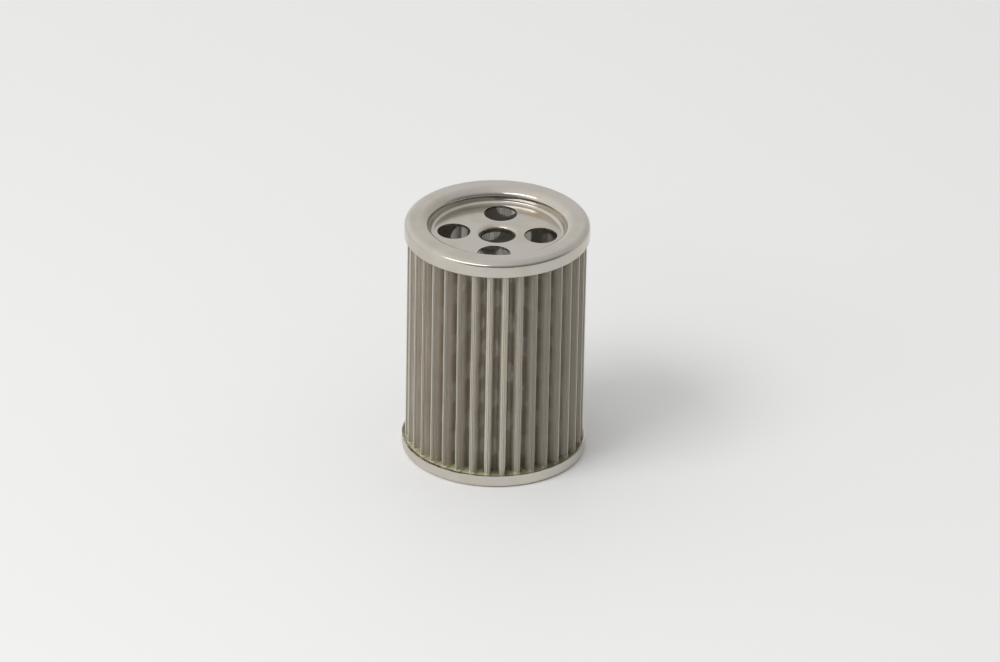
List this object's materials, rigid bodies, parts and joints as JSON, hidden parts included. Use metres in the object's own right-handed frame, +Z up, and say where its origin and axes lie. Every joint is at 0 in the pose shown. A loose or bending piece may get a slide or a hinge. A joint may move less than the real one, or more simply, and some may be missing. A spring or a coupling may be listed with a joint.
{
  "type": "pleated filter element",
  "caption": "Upright cylindrical filter element: a ring of pleated wire mesh round a perforated core, bonded between a pressed top cap with a ported well and a closed bottom pan.",
  "frame": {"origin": "middle of the underside of the bottom cap, on the axis", "axes": "+Z up along the axis from the closed bottom cap to the ported top cap; the viewer of the picture stands on the -Y side"},
  "size_m": [0.06, 0.06, 0.082],
  "materials": {
    "cap_steel": "bright rolled and pressed stainless sheet",
    "core_steel": "mill-finish perforated stainless sheet",
    "woven_mesh": "fine woven stainless wire, matt from a step away",
    "adhesive": "cured pale khaki adhesive with a soft gloss"
  },
  "bodies": {
    "root": {"top_cap": "cap_steel", "bottom_cap": "cap_steel", "core_tube": "core_steel", "pleated_mesh": "woven_mesh", "upper_potting": "adhesive", "lower_potting": "adhesive"}
  },
  "joints": []
}
